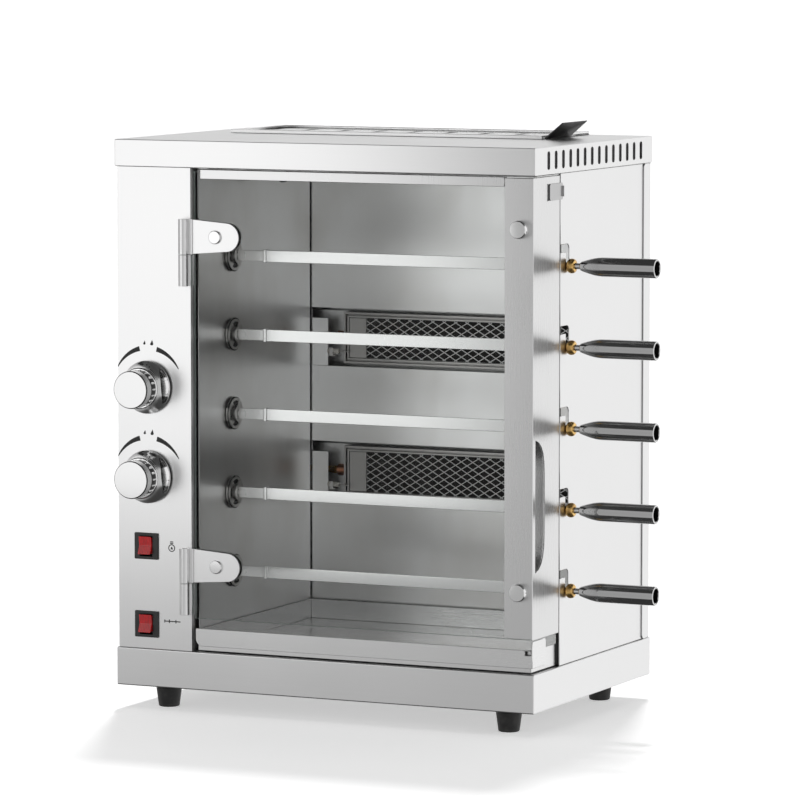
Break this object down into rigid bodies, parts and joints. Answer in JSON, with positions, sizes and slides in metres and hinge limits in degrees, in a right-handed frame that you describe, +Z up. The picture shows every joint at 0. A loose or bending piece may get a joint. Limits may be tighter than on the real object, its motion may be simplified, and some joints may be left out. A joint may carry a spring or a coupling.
{
  "type": "rotisserie oven",
  "caption": "Table-top gas rotisserie oven: stacked geared spits with outside handles, infrared burners behind them, a hinged glass door and a drip tray.",
  "frame": {"origin": "bottom centre of the bounding box, on the surface the feet stand on", "axes": "+Z up, +X towards the spit handles, +Y towards the back; the door and knobs face -Y"},
  "size_m": [0.745, 0.462, 0.7969],
  "materials": {
    "panel_steel": "fine brushed stainless sheet",
    "liner_steel": "satin stainless sheet, slightly heat-dulled",
    "burner_steel": "folded aluminised steel",
    "machine_steel": "machined steel",
    "bright_chrome": "polished plate",
    "turned_brass": "turned brass",
    "cast_aluminium": "die-cast",
    "foot_rubber": "moulded black rubber",
    "black_plastic": "moulded black nylon",
    "red_lens": "clear red polycarbonate lens",
    "clear_glass": "toughened clear glass"
  },
  "bodies": {
    "cabinet": {"base_pan": "panel_steel", "left_side_panel": "panel_steel", "control_panel": "panel_steel", "right_side_panel": "panel_steel", "rear_cover": "panel_steel", "top_cover": "panel_steel", "exhaust_frame": "panel_steel", "fixed_hinge_leaf_upper": "panel_steel", "fixed_hinge_leaf_lower": "panel_steel", "left_inner_wall": "liner_steel", "rear_inner_wall": "liner_steel", "cavity_ceiling": "liner_steel", "burner_guard_upper": "liner_steel", "burner_guard_lower": "liner_steel", "burner_upper": "burner_steel", "burner_lower": "burner_steel", "drive_plate": "machine_steel", "gas_valve_upper": "turned_brass", "gas_valve_lower": "turned_brass", "gas_manifold": "turned_brass", "gear_motor": "cast_aluminium", "foot_front_left": "foot_rubber", "foot_front_right": "foot_rubber", "foot_rear_left": "foot_rubber", "foot_rear_right": "foot_rubber", "switch_housing_lamp": "black_plastic", "switch_housing_motor": "black_plastic", "mains_gland": "black_plastic", "oven_lamp": "clear_glass"},
    "door": {"door_glass": "clear_glass", "door_stile": "panel_steel", "door_top_rail": "panel_steel", "door_pull_cup": "panel_steel", "door_hinge_leaf_upper": "panel_steel", "door_hinge_leaf_lower": "panel_steel", "door_catch": "panel_steel"},
    "tray": {"drip_tray": "panel_steel"},
    "damper": {"damper_plate": "machine_steel"},
    "stem_upper": {"valve_stem_upper": "machine_steel"},
    "stem_lower": {"valve_stem_lower": "machine_steel"},
    "knob_upper": {"knob_upper": "bright_chrome"},
    "knob_lower": {"knob_lower": "bright_chrome"},
    "rocker_lamp": {"rocker_lamp": "red_lens"},
    "rocker_motor": {"rocker_motor": "red_lens"},
    "pinion": {"motor_pinion": "machine_steel"},
    "drive_1": {"drive_gear_1": "machine_steel"},
    "bush_1": {"spit_bush_1": "turned_brass"},
    "spit_1": {"spit_1": "bright_chrome"},
    "drive_2": {"drive_gear_2": "machine_steel"},
    "bush_2": {"spit_bush_2": "turned_brass"},
    "spit_2": {"spit_2": "bright_chrome"},
    "drive_3": {"drive_gear_3": "machine_steel"},
    "bush_3": {"spit_bush_3": "turned_brass"},
    "spit_3": {"spit_3": "bright_chrome"},
    "drive_4": {"drive_gear_4": "machine_steel"},
    "bush_4": {"spit_bush_4": "turned_brass"},
    "spit_4": {"spit_4": "bright_chrome"},
    "drive_5": {"drive_gear_5": "machine_steel"},
    "bush_5": {"spit_bush_5": "turned_brass"},
    "spit_5": {"spit_5": "bright_chrome"}
  },
  "joints": [
    {"name": "door_hinge", "type": "hinge", "parent": "cabinet", "child": "door", "pos_m": [-0.26535, -0.186, 0.404], "axis": [0, 0, -1], "range_deg": [0, 115]},
    {"name": "tray_slide", "type": "slide", "parent": "cabinet", "child": "tray", "axis": [0, -1, 0], "range_m": [0, 0.3]},
    {"name": "damper_slide", "type": "slide", "parent": "cabinet", "child": "damper", "axis": [1, 0, 0], "range_m": [0, 0.0265]},
    {"name": "valve_push_upper", "type": "slide", "parent": "cabinet", "child": "stem_upper", "axis": [0, 1, 0], "range_m": [0, 0.003], "stiffness_N_per_m": 600},
    {"name": "knob_turn_upper", "type": "hinge", "parent": "stem_upper", "child": "knob_upper", "pos_m": [-0.3233, -0.206, 0.4403], "axis": [0, 1, 0], "range_deg": [-120, 120]},
    {"name": "valve_push_lower", "type": "slide", "parent": "cabinet", "child": "stem_lower", "axis": [0, 1, 0], "range_m": [0, 0.003], "stiffness_N_per_m": 600},
    {"name": "knob_turn_lower", "type": "hinge", "parent": "stem_lower", "child": "knob_lower", "pos_m": [-0.3233, -0.206, 0.3188], "axis": [0, 1, 0], "range_deg": [-120, 120]},
    {"name": "rocker_press_lamp", "type": "hinge", "parent": "cabinet", "child": "rocker_lamp", "pos_m": [-0.3265, -0.175, 0.224], "axis": [1, 0, 0], "range_deg": [0, 14]},
    {"name": "rocker_press_motor", "type": "hinge", "parent": "cabinet", "child": "rocker_motor", "pos_m": [-0.3265, -0.175, 0.1175], "axis": [1, 0, 0], "range_deg": [0, 14]},
    {"name": "drive_spin_1", "type": "hinge", "parent": "cabinet", "child": "drive_1", "pos_m": [-0.2805, -0.067, 0.182], "axis": [1, 0, 0], "continuous": true},
    {"name": "drive_spin_2", "type": "hinge", "parent": "cabinet", "child": "drive_2", "pos_m": [-0.2805, -0.067, 0.29], "axis": [1, 0, 0], "continuous": true},
    {"name": "drive_spin_3", "type": "hinge", "parent": "cabinet", "child": "drive_3", "pos_m": [-0.2805, -0.067, 0.398], "axis": [1, 0, 0], "continuous": true},
    {"name": "drive_spin_4", "type": "hinge", "parent": "cabinet", "child": "drive_4", "pos_m": [-0.2805, -0.067, 0.506], "axis": [1, 0, 0], "continuous": true},
    {"name": "drive_spin_5", "type": "hinge", "parent": "cabinet", "child": "drive_5", "pos_m": [-0.2805, -0.067, 0.614], "axis": [1, 0, 0], "continuous": true},
    {"name": "pinion_spin", "type": "hinge", "parent": "cabinet", "child": "pinion", "pos_m": [-0.2805, 0.014, 0.182], "axis": [1, 0, 0], "continuous": true},
    {"name": "spit_draw_1", "type": "slide", "parent": "cabinet", "child": "bush_1", "axis": [1, 0, 0], "range_m": [0, 0.014]},
    {"name": "spit_spin_1", "type": "hinge", "parent": "bush_1", "child": "spit_1", "pos_m": [0.2475, -0.067, 0.182], "axis": [1, 0, 0], "continuous": true},
    {"name": "spit_draw_2", "type": "slide", "parent": "cabinet", "child": "bush_2", "axis": [1, 0, 0], "range_m": [0, 0.014]},
    {"name": "spit_spin_2", "type": "hinge", "parent": "bush_2", "child": "spit_2", "pos_m": [0.2475, -0.067, 0.29], "axis": [1, 0, 0], "continuous": true},
    {"name": "spit_draw_3", "type": "slide", "parent": "cabinet", "child": "bush_3", "axis": [1, 0, 0], "range_m": [0, 0.014]},
    {"name": "spit_spin_3", "type": "hinge", "parent": "bush_3", "child": "spit_3", "pos_m": [0.2475, -0.067, 0.398], "axis": [1, 0, 0], "continuous": true},
    {"name": "spit_draw_4", "type": "slide", "parent": "cabinet", "child": "bush_4", "axis": [1, 0, 0], "range_m": [0, 0.014]},
    {"name": "spit_spin_4", "type": "hinge", "parent": "bush_4", "child": "spit_4", "pos_m": [0.2475, -0.067, 0.506], "axis": [1, 0, 0], "continuous": true},
    {"name": "spit_draw_5", "type": "slide", "parent": "cabinet", "child": "bush_5", "axis": [1, 0, 0], "range_m": [0, 0.014]},
    {"name": "spit_spin_5", "type": "hinge", "parent": "bush_5", "child": "spit_5", "pos_m": [0.2475, -0.067, 0.614], "axis": [1, 0, 0], "continuous": true}
  ],
  "couplings": [
    {"joint": "pinion_spin", "follows": "drive_spin_1", "ratio": -2},
    {"joint": "spit_spin_1", "follows": "drive_spin_1", "ratio": 1},
    {"joint": "drive_spin_2", "follows": "drive_spin_1", "ratio": -1},
    {"joint": "spit_spin_2", "follows": "drive_spin_1", "ratio": -1},
    {"joint": "drive_spin_3", "follows": "drive_spin_1", "ratio": 1},
    {"joint": "spit_spin_3", "follows": "drive_spin_1", "ratio": 1},
    {"joint": "drive_spin_4", "follows": "drive_spin_1", "ratio": -1},
    {"joint": "spit_spin_4", "follows": "drive_spin_1", "ratio": -1},
    {"joint": "drive_spin_5", "follows": "drive_spin_1", "ratio": 1},
    {"joint": "spit_spin_5", "follows": "drive_spin_1", "ratio": 1}
  ]
}
